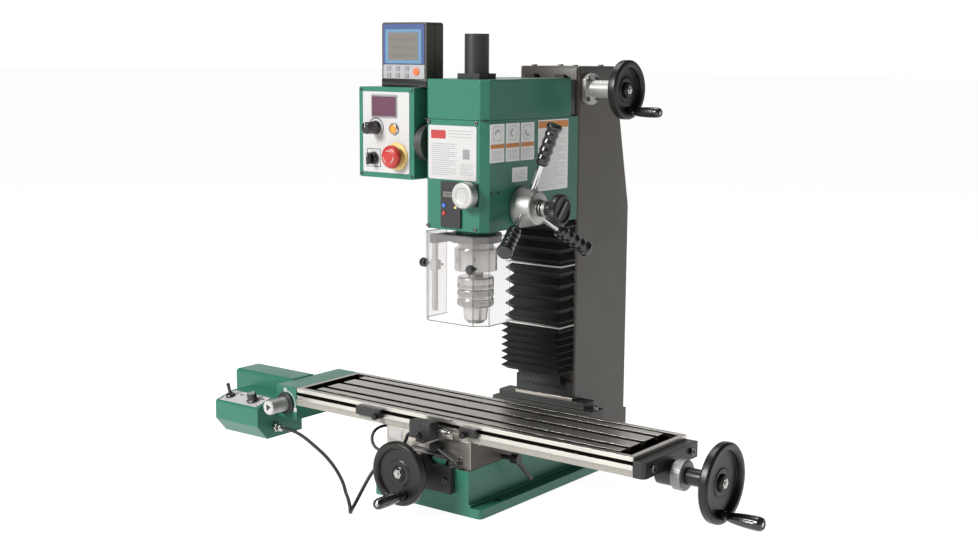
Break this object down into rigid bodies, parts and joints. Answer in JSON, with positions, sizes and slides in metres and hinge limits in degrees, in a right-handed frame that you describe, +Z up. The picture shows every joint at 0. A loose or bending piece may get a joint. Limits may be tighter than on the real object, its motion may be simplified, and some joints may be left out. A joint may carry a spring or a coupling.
{
  "type": "benchtop milling machine",
  "caption": "Benchtop mill-drill: tall column, geared head with quill feed, T-slot cross table with handwheels, table power feed, control box, readout and chuck guard.",
  "frame": {"origin": "middle of the base's underside", "axes": "+X along the table towards its handwheel, +Y towards the column, +Z up"},
  "size_m": [1.075, 0.6627, 0.798],
  "materials": {
    "green_paint": "hammered gloss",
    "column_paint": "satin",
    "black_iron": "satin",
    "grey_casting": "cast",
    "bellows_rubber": "matt",
    "black_wheel": "satin",
    "grip_plastic": "gloss",
    "steel": "turned",
    "dial_aluminium": "satin",
    "ground_iron": "ground",
    "bronze": "machined",
    "black_plastic": "matt",
    "cable_rubber": "satin",
    "chrome": "polished",
    "blue_plastic": "satin",
    "red_plastic": "gloss",
    "clear_guard": "clear",
    "lamp_orange": "gloss"
  },
  "bodies": {
    "root": {"base_casting": "green_paint", "column_foot": "black_iron", "column_casting": "column_paint", "y_bearing_block": "black_iron", "z_crank_bracket": "grey_casting", "bellows": "bellows_rubber"},
    "z_handwheel": {"z_handwheel": "black_wheel"},
    "z_grip": {"z_grip": "grip_plastic"},
    "z_leadscrew": {"z_leadscrew": "steel"},
    "y_handwheel": {"y_handwheel": "black_wheel", "y_leadscrew": "steel"},
    "y_grip": {"y_grip": "grip_plastic"},
    "saddle": {"saddle_casting": "ground_iron", "leadscrew_nuts": "bronze", "limit_switch_box": "black_plastic", "saddle_cable": "cable_rubber", "switch_lead": "cable_rubber"},
    "table_lock_lever": {"table_lock_lever": "black_iron"},
    "saddle_lock_lever": {"saddle_lock_lever": "black_iron"},
    "table": {"table": "ground_iron", "right_end_bracket": "black_iron", "feed_end_plate": "green_paint", "feed_housing": "green_paint", "feed_motor_cover": "green_paint", "cable_gland": "chrome"},
    "x_handwheel": {"x_handwheel": "black_wheel", "x_leadscrew": "steel"},
    "x_dial": {"x_dial": "dial_aluminium"},
    "x_grip": {"x_grip": "grip_plastic"},
    "trip_dog_left": {"trip_dog_left": "steel"},
    "trip_dog_right": {"trip_dog_right": "steel"},
    "feed_toggle": {"feed_toggle": "chrome"},
    "feed_speed_knob": {"feed_speed_knob": "black_plastic"},
    "feed_engage_knob": {"feed_engage_knob": "dial_aluminium"},
    "head": {"head_casting": "green_paint", "head_cover": "green_paint", "depth_readout": "black_plastic", "drawbar_cap": "black_iron", "spindle_motor": "steel", "control_box": "green_paint", "readout_box": "black_plastic"},
    "zero_button": {"zero_button": "blue_plastic"},
    "unit_button": {"unit_button": "red_plastic"},
    "fine_feed_knob": {"fine_feed_knob": "dial_aluminium"},
    "quill": {"quill": "steel"},
    "spindle": {"spindle": "steel", "chuck_body": "steel", "chuck_jaws": "steel"},
    "chuck_sleeve": {"chuck_sleeve": "steel"},
    "feed_hub": {"feed_hub": "dial_aluminium", "hub_spokes": "steel", "spoke_grips": "grip_plastic"},
    "clutch_knob": {"clutch_knob": "black_plastic"},
    "guard": {"guard": "clear_guard", "guard_arm": "steel"},
    "e_stop_button": {"e_stop_button": "red_plastic"},
    "power_button": {"power_button": "lamp_orange"},
    "speed_knob": {"speed_knob": "black_plastic"},
    "direction_switch": {"direction_switch": "black_plastic"}
  },
  "joints": [
    {"name": "z_wheel_turn", "type": "hinge", "parent": "root", "child": "z_handwheel", "pos_m": [0, 0.113, 0.686], "axis": [1, 0, 0], "range_deg": [-18721, 1729]},
    {"name": "z_grip_spin", "type": "hinge", "parent": "z_handwheel", "child": "z_grip", "pos_m": [0, 0.121, 0.648], "axis": [1, 0, 0], "continuous": true},
    {"name": "z_screw_turn", "type": "hinge", "parent": "root", "child": "z_leadscrew", "pos_m": [0, 0.112, 0], "axis": [0, 0, 1], "range_deg": [-18721, 1729]},
    {"name": "head_slide", "type": "slide", "parent": "root", "child": "head", "axis": [0, 0, 1], "range_m": [-0.13, 0.012], "deforming": ["bellows"]},
    {"name": "y_wheel_turn", "type": "hinge", "parent": "root", "child": "y_handwheel", "pos_m": [0, 0, 0.073], "axis": [0, 1, 0], "range_deg": [-721, 16561]},
    {"name": "y_grip_spin", "type": "hinge", "parent": "y_handwheel", "child": "y_grip", "pos_m": [0.011, 0, 0.04], "axis": [0, 1, 0], "continuous": true},
    {"name": "saddle_slide", "type": "slide", "parent": "root", "child": "saddle", "axis": [0, 1, 0], "range_m": [-0.005, 0.115], "deforming": ["switch_lead"]},
    {"name": "x_wheel_turn", "type": "hinge", "parent": "table", "child": "x_handwheel", "pos_m": [0, -0.1757, 0.1165], "axis": [1, 0, 0], "range_deg": [-40321, 27361]},
    {"name": "x_dial_turn", "type": "hinge", "parent": "x_handwheel", "child": "x_dial", "pos_m": [0, -0.1757, 0.1165], "axis": [1, 0, 0], "continuous": true},
    {"name": "x_grip_spin", "type": "hinge", "parent": "x_handwheel", "child": "x_grip", "pos_m": [0, -0.178, 0.067], "axis": [1, 0, 0], "continuous": true},
    {"name": "table_slide", "type": "slide", "parent": "saddle", "child": "table", "axis": [1, 0, 0], "range_m": [-0.28, 0.19], "deforming": ["switch_lead"]},
    {"name": "table_lock_turn", "type": "hinge", "parent": "saddle", "child": "table_lock_lever", "pos_m": [0.022, -0.26, 0.108], "axis": [0, -1, 0], "range_deg": [-3, 40]},
    {"name": "saddle_lock_turn", "type": "hinge", "parent": "saddle", "child": "saddle_lock_lever", "pos_m": [0.118, -0.17, 0.082], "axis": [1, 0, 0], "range_deg": [-25, 50]},
    {"name": "dog_left_slide", "type": "slide", "parent": "table", "child": "trip_dog_left", "axis": [1, 0, 0], "range_m": [-0.1, 0.04]},
    {"name": "dog_right_slide", "type": "slide", "parent": "table", "child": "trip_dog_right", "axis": [1, 0, 0], "range_m": [-0.03, 0.2]},
    {"name": "feed_toggle_tilt", "type": "hinge", "parent": "table", "child": "feed_toggle", "pos_m": [-0.444, -0.28617, 0.12867], "axis": [0, 0.9672, 0.2539], "range_deg": [-15, 15]},
    {"name": "feed_speed_turn", "type": "hinge", "parent": "table", "child": "feed_speed_knob", "pos_m": [-0.386, -0.285, 0.12422], "axis": [0, -0.2539, 0.9672], "range_deg": [-140, 140]},
    {"name": "feed_engage_turn", "type": "hinge", "parent": "table", "child": "feed_engage_knob", "pos_m": [-0.33, -0.26, 0.124], "axis": [0, 1, 0], "range_deg": [-60, 60]},
    {"name": "zero_press", "type": "slide", "parent": "head", "child": "zero_button", "axis": [0, 1, 0], "range_m": [0, 0.001], "stiffness_N_per_m": 300},
    {"name": "unit_press", "type": "slide", "parent": "head", "child": "unit_button", "axis": [0, 1, 0], "range_m": [0, 0.001], "stiffness_N_per_m": 300},
    {"name": "fine_feed_turn", "type": "hinge", "parent": "head", "child": "fine_feed_knob", "pos_m": [0.034, -0.2, 0.5185], "axis": [0, 1, 0], "continuous": true},
    {"name": "quill_feed", "type": "hinge", "parent": "head", "child": "feed_hub", "pos_m": [0, -0.092, 0.493], "axis": [1, 0, 0], "range_deg": [0, 150]},
    {"name": "quill_slide", "type": "slide", "parent": "head", "child": "quill", "axis": [0, 0, -1], "range_m": [0, 0.05]},
    {"name": "clutch_turn", "type": "hinge", "parent": "feed_hub", "child": "clutch_knob", "pos_m": [0, -0.092, 0.493], "axis": [1, 0, 0], "range_deg": [-180, 180]},
    {"name": "spindle_turn", "type": "hinge", "parent": "quill", "child": "spindle", "pos_m": [0, -0.13, 0], "axis": [0, 0, 1], "continuous": true},
    {"name": "chuck_sleeve_turn", "type": "hinge", "parent": "spindle", "child": "chuck_sleeve", "pos_m": [0, -0.13, 0], "axis": [0, 0, 1], "range_deg": [0, 720]},
    {"name": "guard_swing", "type": "hinge", "parent": "head", "child": "guard", "pos_m": [0, -0.13, 0], "axis": [0, 0, 1], "range_deg": [-90, 90]},
    {"name": "e_stop_press", "type": "slide", "parent": "head", "child": "e_stop_button", "axis": [0, 1, 0], "range_m": [0, 0.005]},
    {"name": "power_press", "type": "slide", "parent": "head", "child": "power_button", "axis": [0, 1, 0], "range_m": [0, 0.002], "stiffness_N_per_m": 300},
    {"name": "speed_knob_turn", "type": "hinge", "parent": "head", "child": "speed_knob", "pos_m": [-0.165, -0.2, 0.621], "axis": [0, 1, 0], "range_deg": [-140, 140]},
    {"name": "direction_turn", "type": "hinge", "parent": "head", "child": "direction_switch", "pos_m": [-0.17, -0.2, 0.569], "axis": [0, 1, 0], "range_deg": [-45, 45]}
  ],
  "couplings": [
    {"joint": "z_wheel_turn", "follows": "head_slide", "rad_per_m": 2513.3},
    {"joint": "z_screw_turn", "follows": "head_slide", "rad_per_m": 2513.3},
    {"joint": "y_wheel_turn", "follows": "saddle_slide", "rad_per_m": 2513.3},
    {"joint": "x_wheel_turn", "follows": "table_slide", "rad_per_m": 2513.3},
    {"joint": "quill_slide", "follows": "quill_feed", "m_per_rad": 0.019099}
  ]
}
